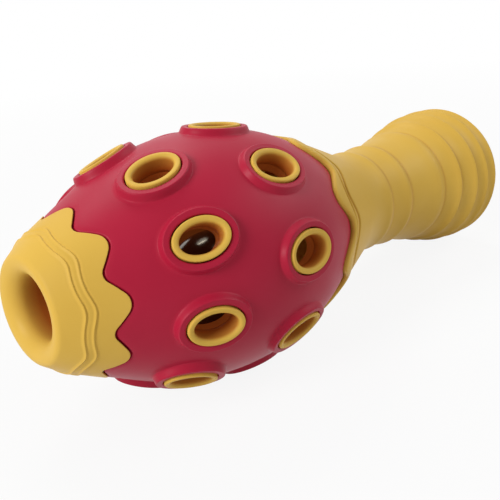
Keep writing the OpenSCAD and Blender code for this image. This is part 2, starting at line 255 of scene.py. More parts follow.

# %% [markdown]
# The ball is hard moulded plastic, almost black-brown and polished, so it shows small soft
# highlights in the shade behind the eyelets. A cream specular tint warms them, a painted
# reflection of the yellow walls round it. The pellet inside is a bright steel bearing ball.

# %% Polished plastic and bearing steel
def polished_plastic(name, base, scuffed, roughness):
    """Hard glossy plastic with faint scuffs in its colour and gloss."""
    made, tree, out = new_material(name)
    where = node(tree, "ShaderNodeTexCoord").outputs["Object"]
    scuff = node(tree, "ShaderNodeTexNoise", inputs={
        "Vector": where, "Scale": per_metre(3.0), "Detail": 4.0})
    colour = node(tree, "ShaderNodeMix", {"data_type": "RGBA"}, {
        0: scuff.outputs["Fac"], 6: linear(base), 7: linear(scuffed)})
    gloss = node(tree, "ShaderNodeMapRange", inputs={
        "Value": scuff.outputs["Fac"], "From Min": 0.35, "From Max": 0.7,
        "To Min": roughness, "To Max": roughness + 0.04})
    # The cream specular tint is a painted reflection of the yellow walls round the ball.
    skin = node(tree, "ShaderNodeBsdfPrincipled", inputs={
        "Base Color": colour.outputs[2], "Roughness": gloss.outputs["Result"], "IOR": 1.6,
        "Specular IOR Level": 0.9, "Specular Tint": linear("#f3e2bd")})
    tree.links.new(skin.outputs["BSDF"], out.inputs["Surface"])
    return made


def bearing_steel(name, base, roughness):
    """Ground and polished steel, with a faint cloud in its gloss."""
    made, tree, out = new_material(name)
    where = node(tree, "ShaderNodeTexCoord").outputs["Object"]
    cloud = node(tree, "ShaderNodeTexNoise", inputs={"Vector": where, "Scale": per_metre(1.5)})
    gloss = node(tree, "ShaderNodeMapRange", inputs={
        "Value": cloud.outputs["Fac"], "To Min": roughness, "To Max": roughness + 0.12})
    skin = node(tree, "ShaderNodeBsdfPrincipled", inputs={
        "Base Color": linear(base), "Metallic": 1.0, "Roughness": gloss.outputs["Result"]})
    tree.links.new(skin.outputs["BSDF"], out.inputs["Surface"])
    return made


dark_plastic = polished_plastic("polished_dark_plastic", "#2b1512", "#331a16", 0.14)
bright_steel = bearing_steel("bearing_steel", "#b9b9bd", 0.12)
print("made", dark_plastic.name, "and", bright_steel.name)

# %% [markdown]
# ## The barrel's curve
# Lengthwise the barrel is one circle arc, with a straight slope in front that touches it.
# A point is named by its length s along that line from the widest place, and a depth under
# the surface, so that walls and bosses can be measured square to the skin.

# %% The barrel's curve
BELLY_R, BELLY_Z = 36.2, 61.0                # the widest place
ARC_R = 77.0
SLOPE = np.radians(27.5)
SHELL_WALL, BOND_GAP, LINER_WALL = 3.0, 0.15, 2.4
LINER_DEPTH = SHELL_WALL + BOND_GAP
ARC_AXIS_R = BELLY_R - ARC_R


def barrel(s, depth):
    """(z, radius) at arc length s and a depth under the skin.

    The arc's angle is s / R. In front it is held at the slope's angle, and the line runs straight on.
    """
    angle = np.maximum(s / ARC_R, -SLOPE)
    straight = s - angle * ARC_R
    r = ARC_AXIS_R + (ARC_R - depth) * np.cos(angle) - straight * np.sin(angle)
    z = BELLY_Z + (ARC_R - depth) * np.sin(angle) + straight * np.cos(angle)
    return z, r


def barrel_length(z, r):
    """The arc length s of a point near the surface, the reverse of barrel()."""
    angle = np.arctan2(z - BELLY_Z, r - ARC_AXIS_R)
    join_z, join_r = barrel(-SLOPE * ARC_R, 0.0)
    straight = (z - join_z) * np.cos(SLOPE) + (r - join_r) * np.sin(SLOPE)
    return np.where(angle > -SLOPE, angle * ARC_R, -SLOPE * ARC_R + straight)


def slope_r(z, proud):
    """Radius of the straight front slope, or of a face that stands proud of it, at a place z."""
    return ARC_AXIS_R + (ARC_R + proud) / np.cos(SLOPE) + (z - BELLY_Z) * np.tan(SLOPE)


print("barrel: widest", BELLY_R, "mm at", BELLY_Z, "mm")

# %% [markdown]
# ## Scalloped seams
# The red shell meets the yellow nose and handle along wavy lines. One wave is a rounded
# tip, a straight flank and a rounded valley, nine times round the toy. A cosine would also
# wave, but arcs and flanks keep the tips as full as the moulded ones.

# %% The wavy seam lines
def scallop(turn, tip, valley, tip_round, valley_round, half_pitch):
    """z of a wavy line: a circle at each tip, a flank that touches it, a circle at each valley.

    The tips are at turns of 0, 40, 80 degrees and so on, and the valleys are halfway between.
    """
    across = np.abs((np.asarray(turn) + STEP / 2) % STEP - STEP / 2) / (STEP / 2) * half_pitch
    tip_mid, valley_mid = tip - tip_round, valley + valley_round
    lean = np.arctan2(valley_mid - tip_mid, half_pitch)
    face = lean + np.arccos((tip_round + valley_round) / np.hypot(half_pitch, valley_mid - tip_mid))
    upper, lower = tip_round * np.cos(face), half_pitch - valley_round * np.cos(face)
    on_tip = tip_mid + np.sqrt(np.maximum(tip_round**2 - across**2, 0.0))
    on_valley = valley_mid - np.sqrt(np.maximum(valley_round**2 - (half_pitch - across)**2, 0.0))
    on_flank = tip_mid + tip_round * np.sin(face) - (across - upper) / np.tan(face)
    return np.where(across < upper, on_tip, np.where(across > lower, on_valley, on_flank))


SEAM_GAP = 0.4                               # width of the open seams


def nose_seam(turn):
    """The seam between the nose and the shell: tips towards the handle."""
    return scallop(turn, tip=16.4, valley=12.4, tip_round=3.7, valley_round=2.8, half_pitch=7.3)


def rear_seam(turn):
    """The seam between the shell and the handle's lip: the shell's tongues reach back at tips."""
    return scallop(turn, tip=95.6, valley=88.4, tip_round=4.6, valley_round=4.0, half_pitch=10.3)


for label, seam in (("nose", nose_seam), ("rear", rear_seam)):
    print(label, "seam from", seam(STEP / 2), "to", seam(0.0), "mm")

# %% [markdown]
# ## Eyelet places
# Eighteen eyelets stand square on the barrel in two rings, half a step apart. Each has its
# own small frame: along the toy, round the toy, and straight out.

# %% Eyelet frames
# An angle on the barrel's arc in degrees, an offset in steps, and the rest in millimetres.
RINGS = {
    "front": {"angle": -20.2, "offset": 0.5, "length": 15.4, "width": 10.9,
              "proud": 1.95, "boss": 1.3, "flat": 1.7},
    "rear": {"angle": 3.6, "offset": 0.0, "length": 17.4, "width": 12.0,
             "proud": 1.35, "boss": 0.9, "flat": 1.55},
}


def eyelet_frame(ring, number):
    """Origin on the barrel and unit vectors along, round and out of one eyelet, with its turn."""
    angle = np.radians(ring["angle"])
    turn = (number - 1 + ring["offset"]) * STEP
    spoke = np.cos(np.radians(turn)) * UP + np.sin(np.radians(turn)) * SIDE
    round_ = -np.sin(np.radians(turn)) * UP + np.cos(np.radians(turn)) * SIDE
    out = np.cos(angle) * spoke + np.sin(angle) * ALONG
    along = -np.sin(angle) * spoke + np.cos(angle) * ALONG
    z, r = barrel(angle * ARC_R, 0.0)
    return place(z, turn, r), along, round_, out, turn


def sag(ring, m, c):
    """How far the skin falls away under an eyelet's plane, m mm along and c mm round from its middle.

    A circle of radius R falls by about x^2 / 2R at a distance x. Round the toy, where the curve is
    tighter, x^4 / 8R^3 is added.
    """
    angle = np.radians(ring["angle"])
    round_r = (ARC_AXIS_R + ARC_R * np.cos(angle)) / np.cos(angle)
    return m**2 / (2.0 * ARC_R) + c**2 / (2.0 * round_r) + c**4 / (8.0 * round_r**3)


def local_points(eyelet, m, c, n):
    """Row-frame points from an eyelet's own millimetres: along, round and out."""
    origin, along, round_, out, _ = eyelet
    return origin + MM * (m[..., None] * along + c[..., None] * round_ + n[..., None] * out)


eyelets = {(name, k): eyelet_frame(ring, k) for name, ring in RINGS.items() for k in NUMBERS}
print(len(eyelets), "eyelet frames")

# %% [markdown]
# ## The red shell
# The shell is one skin with eighteen raised bosses and eighteen holes. It is cut into
# eighteen cells, one for each hole. In a cell the grid runs round the hole in one
# direction. In the other it starts on the inner face, comes up the wall of the hole, goes
# over the flat top of the boss and down its soft shoulder, and spreads out to the cell's
# edge. Boolean cuts would be quicker to write, but they leave ragged shading round holes.

# %% Shell cells
SPLIT_S = -11.8                              # arc length of the line between the two rings
EDGE_ROUND = 0.45
HOLE_GAP, HOLE_ROUND = 0.3, 0.5
BOSS_FOOT = 2.7                              # from the hole to the foot of its boss
ACROSS, LENGTHWISE = 24, 20                  # points on a cell's short and long sides
ROUNDING = np.radians([0.0, 22.5, 45.0, 67.5, 90.0])     # turns over a rounded edge
INNER_SHARES = (1.0, 0.6, 0.3, 0.1, 0.0)     # rows on the inner face, from the border to the hole
WALL_SHARES = (0.3, 0.6, 0.85, 1.0)          # rows up the wall of the hole
BOSS_ROWS = np.linspace(0.8, BOSS_FOOT, 20)  # rows over the boss, in mm from the hole
SKIN_SHARES = (0.08, 0.18, 0.3, 0.43, 0.56, 0.7, 0.85, 1.0)     # rows from the boss to the border


def edge_length(name, turn):
    """Arc length s where the shell's rounded edge starts, at the nose or at the handle."""
    if name == "front":
        z = nose_seam(turn) + SEAM_GAP / 2 + EDGE_ROUND
        return barrel_length(z, slope_r(z, 0.0))
    z = rear_seam(turn) - SEAM_GAP / 2 - EDGE_ROUND
    return np.arcsin((z - BELLY_Z) / ARC_R) * ARC_R


def cell_border(name, turn):
    """(s, turn) round a cell: along its front, up one edge, back along its rear, down the other."""
    sweep = turn + np.linspace(-STEP / 2, STEP / 2, ACROSS + 1)
    split, seam = np.full_like(sweep, SPLIT_S), edge_length(name, sweep)
    low, high = (seam, split) if name == "front" else (split, seam)
    share = np.linspace(0.0, 1.0, LENGTHWISE + 1)
    right, left = low[-1] + (high[-1] - low[-1]) * share, low[0] + (high[0] - low[0]) * share
    s = np.concatenate([low[:-1], right[:-1], high[:0:-1], left[:0:-1]])
    up, down = np.full(LENGTHWISE, sweep[-1]), np.full(LENGTHWISE, sweep[0])
    return s, np.concatenate([sweep[:-1], up, sweep[:0:-1], down])


def shell_cell(name, number):
    """Grid of one cell: rows from the inner face, up the hole's wall, over the boss to the border."""
    ring, eyelet = RINGS[name], eyelets[(name, number)]
    turn = eyelet[4]
    border_s, border_turn = cell_border(name, turn)
    half_l, half_w = ring["length"] / 2 + HOLE_GAP, ring["width"] / 2 + HOLE_GAP
    middle_s = np.radians(ring["angle"]) * ARC_R
    middle_r = barrel(middle_s, 0.0)[1]
    spread_m, spread_c = border_s - middle_s, np.radians(border_turn - turn) * middle_r
    around = np.arctan2(spread_c / (half_w + BOSS_FOOT), spread_m / (half_l + BOSS_FOOT))

    def oval(e):
        """(along, round) of an oval e mm outside the hole."""
        return (half_l + e) * np.cos(around), (half_w + e) * np.sin(around)

    def boss_row(e):
        """A row over the boss, whose lift fades from its flat top to its foot."""
        m, c = oval(e)
        fall = sag(ring, m, c)
        lift = 1.0 - smooth_step(e, ring["flat"], BOSS_FOOT)
        return local_points(eyelet, m, c, -fall + (ring["boss"] + fall) * lift)

    def spread_row(share, depth, e):
        """A row a share of the way from an oval to the border, at a depth under the skin."""
        m, c = oval(e)
        spot = local_points(eyelet, m, c, -sag(ring, m, c))
        z, r, spot_turn = toy_coordinates(spot, turn)
        s = (1.0 - share) * barrel_length(z, r) + share * border_s
        z, r = barrel(s, depth)
        return place(z, (1.0 - share) * spot_turn + share * border_turn, r)

    rows = [spread_row(share, SHELL_WALL, 0.0) for share in INNER_SHARES]
    m, c = oval(0.0)
    wall_top, foot = ring["boss"] - HOLE_ROUND, -SHELL_WALL - sag(ring, m, c)
    rows += [local_points(eyelet, m, c, foot + (wall_top - foot) * share) for share in WALL_SHARES]
    for a in ROUNDING[1:]:
        m, c = oval(HOLE_ROUND * (1.0 - np.cos(a)))
        rows.append(local_points(eyelet, m, c, np.full_like(m, wall_top + HOLE_ROUND * np.sin(a))))
    rows += [boss_row(e) for e in BOSS_ROWS]
    rows += [spread_row(share, 0.0, BOSS_FOOT) for share in SKIN_SHARES]
    return np.stack(rows)


print("a cell's border has", 2 * (ACROSS + LENGTHWISE), "points")

# %% [markdown]
# At the two seams the shell's edge is rounded over, goes down square to the skin, as a moulded
# edge does, and then steps a little way under the yellow rubber. The step is the floor of the
# open seam, so the seam shows as a thin dark red line.

# %% Shell edges and the finished shell
UNDERCUT, STEP_DEPTH, STEP_GAP = 0.9, 0.55, 0.1     # the step's reach, depth and gap over it


def shell_edge(name):
    """Grid along one seam: rows round the edge, down, out over the step, then to the inner face."""
    forward = -1.0 if name == "front" else 1.0
    sweep = np.linspace(-STEP / 2, STEP / 2, ACROSS + 1)[:-1]
    turn = np.concatenate([(k - 1 + RINGS[name]["offset"]) * STEP + sweep for k in NUMBERS])
    s = edge_length(name, turn)
    rows = [(s + forward * EDGE_ROUND * np.sin(a), EDGE_ROUND * (1.0 - np.cos(a))) for a in ROUNDING]
    step = s + forward * (EDGE_ROUND + UNDERCUT)
    rows += [(s + forward * EDGE_ROUND, STEP_DEPTH), (step, STEP_DEPTH)]
    rows += [(step, SHELL_WALL), (s, SHELL_WALL)]
    profile = [barrel(row_s, depth) for row_s, depth in rows]
    return np.stack([place(z, turn, r) for z, r in profile])


shell_grids = [(shell_cell(name, k), False, True) for name in RINGS for k in NUMBERS]
shell_grids += [(shell_edge(name), False, True) for name in RINGS]
add_piece("red_shell", shell_grids, "toy", ["outer_shell"], red_rubber)

# %% [markdown]
# ## The eyelets
# Each eyelet is an oval rubber tube. Its section is one closed line: up the outside, round a
# tight outer edge, over a narrow flat rim, down a wide round into the bore and back along the
# foot that sits on the liner. The line is carried round an oval. The tight outer edge gives
# the rim its thin bright line, and the wide round makes the bore darken softly. Painted shade
# turns the wide round and the bore a darker amber towards the liner.

# %% Eyelet tubes
RIM_POINTS = 96
END_WALL, SIDE_WALL = 1.9, 1.8
RIM_EDGE, RIM_FLAT = 0.35, 0.3               # outer rounding and flat width, in mm
OUTER_ROW, BORE_ROWS = -1.0, (-0.6, -1.4, -2.2)   # heights of rows outside and in the bore
FOOT_GAP = 0.05                              # between the foot and the liner
# Shares of painted shade: the wide round and the bore turn a darker amber towards the liner.
RIM_SHADE, BORE_SHADE = 0.7, (0.8, 0.9, 1.0, 1.0)     # depth at the round's end, and down the bore


def eyelet_tube(name, number):
    """Closed grid of one tube, rows along its section and columns round the oval, and its painted shade."""
    ring, eyelet = RINGS[name], eyelets[(name, number)]
    around = np.linspace(0.0, 2.0 * np.pi, RIM_POINTS, endpoint=False)
    half_l, half_w, top = ring["length"] / 2, ring["width"] / 2, ring["proud"]
    ends, sides = np.abs(np.cos(around)), np.abs(np.sin(around))
    wall = (END_WALL * ends + SIDE_WALL * sides) / (ends + sides)

    def row(inward, n):
        """One row: inward mm from the outside, at a height n; with no height it lies on the liner."""
        m = (half_l - inward) * np.cos(around)
        c = (half_w - inward) * np.sin(around)
        height = n if n is not None else -LINER_DEPTH - sag(ring, m, c) + FOOT_GAP
        return local_points(eyelet, m, c, np.broadcast_to(height, m.shape))

    rows = [row(0.0, None), row(0.0, OUTER_ROW), row(0.0, top - RIM_EDGE)]
    for a in ROUNDING[1:]:
        rows.append(row(RIM_EDGE * (1.0 - np.cos(a)), top - RIM_EDGE * (1.0 - np.sin(a))))
    outside = np.zeros(len(rows))
    inner = wall - RIM_EDGE - RIM_FLAT
    turns = np.radians(np.linspace(0.0, 90.0, 11))
    for a in turns:
        rows.append(row(RIM_EDGE + RIM_FLAT + inner * np.sin(a), top - inner * (1.0 - np.cos(a))))
    rows += [row(wall, n) for n in BORE_ROWS] + [row(wall, None)]
    rim = RIM_SHADE * smooth_step(turns, 0.5, np.pi / 2)
    deep = np.concatenate([outside, rim, BORE_SHADE])
    return np.stack(rows), np.broadcast_to(deep[:, None], (len(rows), RIM_POINTS))


for name in RINGS:
    for k in NUMBERS:
        tube, deep = eyelet_tube(name, k)
        add_piece(f"{name}_rim_{k}", [(tube, True, True)], "toy",
                  [f"{name}_eyelet_{k}"], yellow_rubber, deep)

# %% [markdown]
# ## The nose
# The nose is turned as on a lathe: the straight mouth, a wide round up to the lip, a tighter
# one down to a sloping shoulder, and the skirt, which ends in nine rounded teeth. Two fine
# raised lines run round the shoulder and wave with the teeth. The grid's rows follow those
# lines and the wavy edge, so that each is as sharp as the mould made it.

# %% The nose's skin
MOUTH_R, LIP_Z, LIP_OUT = 8.4, 1.1, 2.0
SHOULDER_Z, SHOULDER_SLOPE, SKIRT_PROUD = 6.6, np.radians(37.0), 0.3
SHOULDER_R = slope_r(SHOULDER_Z, SKIRT_PROUD)
LIP_BACK = LIP_OUT * (1.0 - np.sin(SHOULDER_SLOPE)) + (SHOULDER_Z - LIP_Z) * np.sin(SHOULDER_SLOPE)
LIP_AXIS_R = SHOULDER_R - LIP_BACK / np.cos(SHOULDER_SLOPE)
LIP_IN = LIP_AXIS_R - MOUTH_R
NOSE_LINES = ((6.1, 0.38), (8.15, 0.52))     # mean place and swing of the two raised lines
LINE_HEIGHT, LINE_RISE, LINE_FALL = 0.32, 0.26, 0.25
LINE_DIP = 0.35                              # dip behind a line, as a share of its height


def nose_line(number, turn):
    """z of one of the two raised lines: a mean place and a wave, a little sharper at its tips."""
    mean, swing = NOSE_LINES[number]
    wave = np.cos(np.radians(turn) * 360.0 / STEP)
    return mean + swing * (wave + 0.2 * wave**2 - 0.1)


def nose_skin(z, turn):
    """Outer radius: the lower of shoulder and skirt, plus two bell-shaped lines with dips behind."""
    shoulder = SHOULDER_R + (z - SHOULDER_Z) * np.tan(SHOULDER_SLOPE)
    r = np.minimum(shoulder, slope_r(z, SKIRT_PROUD))
    for number in (0, 1):
        past = z - nose_line(number, turn)
        width = np.where(past < 0.0, LINE_RISE, LINE_FALL)
        r = r + LINE_HEIGHT * np.exp(-(past / width) ** 2)
        r = r - LINE_DIP * LINE_HEIGHT * np.exp(-((past - 2.0 * LINE_FALL) / LINE_FALL) ** 2)
    return r


print("lip crest", round(float(LIP_AXIS_R), 2), "mm out, inner round", round(float(LIP_IN), 2), "mm")

# %% The nose cap
COLUMNS = 360
MOUTH_ROWS = (14.0, 11.5, 9.0, 7.0, LIP_Z + LIP_IN)
# Painted shade: the mouth's bore turns a darker amber further in, and the spigot's inner end is all amber.
MOUTH_SHADE = (LIP_Z + 1.6, LIP_Z + 9.0)     # where the mouth starts to turn amber, and is all amber
LINER_FRONT = 24.0
SPIGOT_ROWS = (17.5, 20.0, LINER_FRONT - BOND_GAP)
TOOTH_EDGE = 0.25
LINE_CLEAR = 1.2                             # width of the fine rows behind the second line


def between(start, end, count, gather):
    """Places from start to end, without the start, gathered towards the end by a power."""
    share = 1.0 - (1.0 - np.linspace(0.0, 1.0, count + 1)[1:]) ** gather
    return [start + (end - start) * s for s in share]


def nose_grid():
    """Closed grid of the nose, from its bore over the lip and skirt to the spigot, and its painted shade."""
    turn = np.linspace(0.0, 360.0, COLUMNS, endpoint=False)
    flat = np.zeros_like(turn)
    rows = [(flat + z, flat + MOUTH_R) for z in MOUTH_ROWS]
    for a in np.radians(np.linspace(0.0, 90.0, 16)[1:]):
        z, r = LIP_Z + LIP_IN * (1.0 - np.sin(a)), LIP_AXIS_R - LIP_IN * np.cos(a)
        rows.append((flat + z, flat + r))
    for a in np.linspace(0.0, np.pi / 2 - SHOULDER_SLOPE, 12)[1:]:
        z, r = LIP_Z + LIP_OUT * (1.0 - np.cos(a)), LIP_AXIS_R + LIP_OUT * np.sin(a)
        rows.append((flat + z, flat + r))
    edge = nose_seam(turn) - SEAM_GAP / 2
    first, second = nose_line(0, turn), nose_line(1, turn)
    skirt = between(rows[-1][0], first, 16, 1.8) + between(first, second, 16, 1.0)
    skirt += between(second, second + LINE_CLEAR, 8, 1.0)
    skirt += between(second + LINE_CLEAR, edge - TOOTH_EDGE, 14, 1.3)
    rows += [(z, nose_skin(z, turn)) for z in skirt]
    top = nose_skin(edge - TOOTH_EDGE, turn)
    for a in np.radians([30.0, 60.0, 90.0]):
        rise, fall = TOOTH_EDGE * np.sin(a), TOOTH_EDGE * (1.0 - np.cos(a))
        rows.append((edge - TOOTH_EDGE + rise, top + rise * np.tan(SLOPE) - fall))
    behind, under = edge - UNDERCUT, STEP_GAP - STEP_DEPTH
    rows += [(edge, slope_r(edge, under)), (behind, slope_r(behind, under))]
    rows.append((behind, slope_r(behind, -LINER_DEPTH)))
    rows += [(flat + z, flat + slope_r(z, -LINER_DEPTH)) for z in SPIGOT_ROWS]
    end = SPIGOT_ROWS[-1]
    rows.append((flat + end, flat + slope_r(end, -LINER_DEPTH - LINER_WALL)))
    z, r = np.array([row[0] for row in rows]), np.array([row[1] for row in rows])
    deep = np.where(r < LIP_AXIS_R, smooth_step(z, *MOUTH_SHADE), 0.0)
    deep[-1] = 1.0
    return place(z, turn, r), deep


skin, deep = nose_grid()
add_piece("nose_cap_skin", [(skin, True, True)], "toy",
          ["nose_cap"], yellow_rubber, deep)

# %% [markdown]
# ## The handle
# The handle is turned too. A rolled lip follows the rear seam, with two fine wavy grooves
# behind it. The neck is a cone that runs into a hollow curve, and the grip is a stack of
# bands that swell towards the end. Each band sweeps up in a hollow curve to a narrow crest
# near its back and drops into a groove there, like cups stacked in each other. The grooves
# get a little painted amber shade. Inside, the handle is hollow and open to the barrel.

# %% The handle's profile
NECK_R, NECK_Z, NECK_ARC = 18.4, 131.0, 37.0
NECK_SLOPE = np.radians(21.0)
GROOVE_Z = np.array([134.5, 146.6, 166.2, 174.7, 183.6, 190.9, 197.0])
GROOVE_R = np.array([18.3, 18.8, 21.4, 23.95, 25.95, 26.6, 26.95])
BAND_RISE = np.array([0.75, 1.05, 1.35, 1.45, 1.25, 0.75])
CREST, CREST_ROUND = 0.77, 0.08              # place and half width of a crest, as shares of a band
CREST_POWER, CREST_BLUNT = 4.2, 0.14         # how hollow its ramp is, and how much is rubbed off it
NECK_CREST_Z, NECK_RISE = 124.0, 0.4         # start and height of the crest before the first groove
LIP_SWELL, LIP_LEAN = 0.55, 1.1              # height of the lip's swell, and a power that leans it
LIP_GROOVES = ((97.7, 1.05), (100.6, 1.8))   # mean place and swing of the two fine grooves
LIP_GROOVE_DEPTH, LIP_GROOVE_WIDTH = 1.5, 0.5


def lip_groove(number, turn):
    """z of one of the two fine grooves behind the lip: a mean place and a wave with the seam."""
    mean, swing = LIP_GROOVES[number]
    return mean + swing * np.cos(np.radians(turn) * 360.0 / STEP)


def neck_skin(z):
    """Radius of the cone behind the lip and of the hollow curve that follows it."""
    arc_z = NECK_Z - NECK_ARC * np.sin(NECK_SLOPE)
    cone = NECK_R + NECK_ARC * (1.0 - np.cos(NECK_SLOPE)) + (arc_z - z) * np.tan(NECK_SLOPE)
    before = np.minimum(z - NECK_Z, 0.0)
    hollow = NECK_R + NECK_ARC - np.sqrt(np.maximum(NECK_ARC**2 - before**2, 0.0))
    return np.where(z < arc_z, cone, hollow)


def crest(share):
    """Height of a band as a share of its rise: a hollow ramp, a blunt crest, a quarter-wave fall."""
    ramp = (share / CREST) ** CREST_POWER
    fall = np.cos(np.pi / 2 * np.clip((share - CREST) / (1.0 - CREST), 0.0, 1.0))
    blunt = CREST_BLUNT * np.maximum(1.0 - np.abs(share - CREST) / CREST_ROUND, 0.0) ** 2
    return np.minimum(ramp, fall) - blunt


def grip_skin(z):
    """Radius of the grip: a chord between two grooves plus a crest near the second one."""
    band = np.clip(np.searchsorted(GROOVE_Z, z) - 1, 0, len(BAND_RISE) - 1)
    share = np.clip((z - GROOVE_Z[band]) / (GROOVE_Z[band + 1] - GROOVE_Z[band]), 0.0, 1.0)
    chord = GROOVE_R[band] + (GROOVE_R[band + 1] - GROOVE_R[band]) * share
    return chord + BAND_RISE[band] * crest(share)


def lip_skin(z, turn):
    """Radius of the rolled lip: the cone, a swell before the first groove, and two fine V grooves."""
    first, edge = lip_groove(0, turn), rear_seam(turn)
    share = np.clip((z - edge) / (first - edge), 0.0, 1.0)
    r = neck_skin(z) + LIP_SWELL * np.sin(np.pi * share**LIP_LEAN)
    for number in (0, 1):
        off = np.abs((z - lip_groove(number, turn)) / LIP_GROOVE_WIDTH)
        r = r - LIP_GROOVE_DEPTH * np.exp(-(off**1.5))
    return r


print("grip grooves at", GROOVE_Z, "mm")

# %% The handle
GRIP_R, END_ROUND, HANDLE_WALL = 27.3, 3.0, 6.5
GRIP_END = TOY_LENGTH - END_ROUND
LIP_ROUND, LIP_BACK_Z = 0.9, 109.0
POLE_R = 0.001                               # a ring so small that it is welded to a point
SPIGOT_Z, SPIGOT_BACK_Z, HOLLOW_Z = 85.15, 86.8, 96.6
GROOVE_CLEAR = 1.4                           # width of the fine rows behind the second lip groove
BAND_SHARES = np.concatenate([np.linspace(0.0, 0.64, 10), np.linspace(0.68, 0.99, 17)])
END_ROWS = (16.0, 8.0, POLE_R)               # radii on the flat end
# Painted shade in the lip's and grip's grooves: strength, and width in mm.
LIP_SHADE, GRIP_SHADE = (0.9, 0.45), (0.25, 0.6)  # amber in the grooves: strength, and width in mm


def handle_grid():
    """Closed grid of the handle: hollow, lip, neck, bands and end in turn, and its painted groove shade."""
    turn = np.linspace(0.0, 360.0, COLUMNS, endpoint=False)
    flat = np.zeros_like(turn)
    hollow_r, hollow_end = NECK_R - HANDLE_WALL, TOY_LENGTH - HANDLE_WALL

    def arc_face(z):
        """Radius of the spigot's face, which fits the inside of the shell."""
        return ARC_AXIS_R + np.sqrt((ARC_R - LINER_DEPTH) ** 2 - (z - BELLY_Z) ** 2)

    rows = [(flat + hollow_end, flat + r) for r in (POLE_R, GRIP_R - HANDLE_WALL)]
    rows += [(flat + GROOVE_Z[4], flat + GRIP_R - HANDLE_WALL), (flat + GROOVE_Z[1], flat + hollow_r)]
    rows.append((flat + NECK_Z - NECK_ARC / 4, flat + hollow_r))
    rows.append((flat + HOLLOW_Z, flat + neck_skin(HOLLOW_Z) - HANDLE_WALL))
    rows.append((flat + SPIGOT_Z, flat + arc_face(SPIGOT_Z) - LINER_WALL))
    rows += [(flat + z, flat + arc_face(z)) for z in (SPIGOT_Z, SPIGOT_BACK_Z)]
    edge = rear_seam(turn) + SEAM_GAP / 2
    behind, under = edge + UNDERCUT, LINER_DEPTH + STEP_GAP - STEP_DEPTH
    rows += [(behind, arc_face(behind)), (behind, arc_face(behind) + under)]
    rows.append((edge, arc_face(edge) + under))
    lip_top = lip_skin(edge + LIP_ROUND, turn)
    for a in ROUNDING:
        rows.append((edge + LIP_ROUND * (1.0 - np.cos(a)), lip_top - LIP_ROUND * (1.0 - np.sin(a))))
    first, second = lip_groove(0, turn), lip_groove(1, turn)
    lip = between(edge + LIP_ROUND, first, 18, 2.0) + between(first, second, 18, 1.0)
    lip += between(second, second + GROOVE_CLEAR, 8, 1.0)
    lip += between(second + GROOVE_CLEAR, flat + LIP_BACK_Z, 8, 1.0)
    rows += [(z, lip_skin(z, turn)) for z in lip]
    rows += [(flat + z, flat + neck_skin(z)) for z in np.linspace(LIP_BACK_Z, NECK_CREST_Z, 12)[1:-1]]
    neck_z = NECK_CREST_Z + (GROOVE_Z[0] - NECK_CREST_Z) * BAND_SHARES
    neck_r = neck_skin(neck_z) + NECK_RISE * crest(BAND_SHARES)
    rows += [(flat + z, flat + r) for z, r in zip(neck_z, neck_r)]
    for start, end in zip(GROOVE_Z[:-1], GROOVE_Z[1:]):
        rows += [(flat + z, flat + grip_skin(z)) for z in start + (end - start) * BAND_SHARES]
    end_r = GROOVE_R[-1] - END_ROUND
    for a in np.radians(np.linspace(0.0, 90.0, 7)):
        rows.append((flat + GRIP_END + END_ROUND * np.sin(a), flat + end_r + END_ROUND * np.cos(a)))
    rows += [(flat + TOY_LENGTH, flat + r) for r in END_ROWS]
    z, r = np.array([row[0] for row in rows]), np.array([row[1] for row in rows])

    def shaded(groove, strength, width):
        """Painted amber shade in a groove, fading like a bell curve to both sides."""
        return strength * np.exp(-((z - groove) / width) ** 2)

    shade = sum(shaded(lip_groove(number, turn), *LIP_SHADE) for number in (0, 1))
    shade = shade + sum(shaded(groove, *GRIP_SHADE) for groove in GROOVE_Z[:-1])
    return place(z, turn, r), np.clip(shade, 0.0, 1.0)


skin, shade = handle_grid()
add_piece("handle_skin", [(skin, False, True)], "toy",
          ["handle_grip"], yellow_rubber, shade)

# %% [markdown]
# ## The ball and its pellet
# The ball is two hollow half shells that lap at the middle, and it shows through the
# eyelets as a dark glossy curve. Each half is an arc turned round the toy's direction. The
# pellet in it is one turned half circle.

# %% The ball's halves and the pellet
BALL_R, BALL_WALL = 17.6, 1.6
LAP, LAP_GAP, LAP_ROOM = 1.5, 0.07, 0.15     # the lap's length, half its gap and the room at its end
JOIN_Z = 0.08                                # where the rear half starts
OUTER_END, INNER_END = np.pi / 2 - 0.004, np.pi / 2 - 0.1     # the arcs stop short of the lap
joints = {joint["name"]: joint for joint in frame["joints"]}
BALL_MIDDLE = np.array(joints["pellet_roll"]["pos_m"])


def turned(profile, middle, columns=96):
    """Grid of a profile of (along, radius) mm turned about the toy's direction through a middle."""
    turn = np.linspace(0.0, 2.0 * np.pi, columns, endpoint=False)
    along, r = np.array(profile).T
    ring = np.cos(turn)[:, None] * UP + np.sin(turn)[:, None] * SIDE
    return middle + MM * (along[:, None, None] * ALONG + r[:, None, None] * ring[None])


def arc(r, end, count):
    """(along, radius) points of a circle arc from its pole to an end angle."""
    return [(r * np.cos(a), max(r * np.sin(a), POLE_R)) for a in np.linspace(0.0, end, count)]


